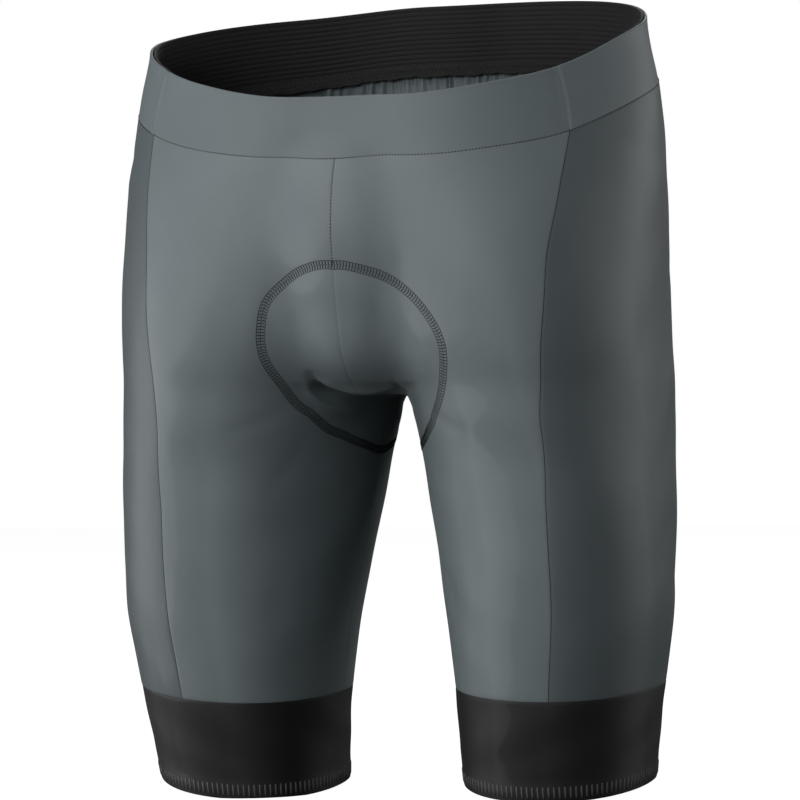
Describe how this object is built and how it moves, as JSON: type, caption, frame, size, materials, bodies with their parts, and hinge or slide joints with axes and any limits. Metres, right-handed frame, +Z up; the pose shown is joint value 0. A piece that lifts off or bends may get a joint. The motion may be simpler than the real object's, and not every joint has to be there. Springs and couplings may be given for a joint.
{
  "type": "cycling shorts",
  "caption": "Close-fitting padded cycling shorts with a ribbed elastic waist and grippers at the hems, filled out as when worn.",
  "frame": {"origin": "centre of the waist opening, at the height of its top edge at the sides", "axes": "+Z up, the front faces -Y, the wearer's left is +X"},
  "size_m": [0.3566, 0.2488, 0.5058],
  "materials": {
    "front_cloth": "matt stretch knit with a slight sheen",
    "side_cloth": "matt stretch knit with a slight sheen",
    "back_cloth": "matt stretch knit with a slight sheen",
    "waistband_cloth": "matt doubled stretch knit",
    "elastic": "matt ribbed elastic",
    "gripper_cloth": "smooth matt band",
    "pad_foam": "brushed knit over foam"
  },
  "bodies": {
    "root": {"front_left": "front_cloth", "front_right": "front_cloth", "side_left": "side_cloth", "side_right": "side_cloth", "back_left": "back_cloth", "back_right": "back_cloth", "waistband_front": "waistband_cloth", "waistband_back": "waistband_cloth", "waist_elastic": "elastic", "gripper_left": "gripper_cloth", "gripper_right": "gripper_cloth", "seat_pad": "pad_foam"}
  },
  "joints": []
}
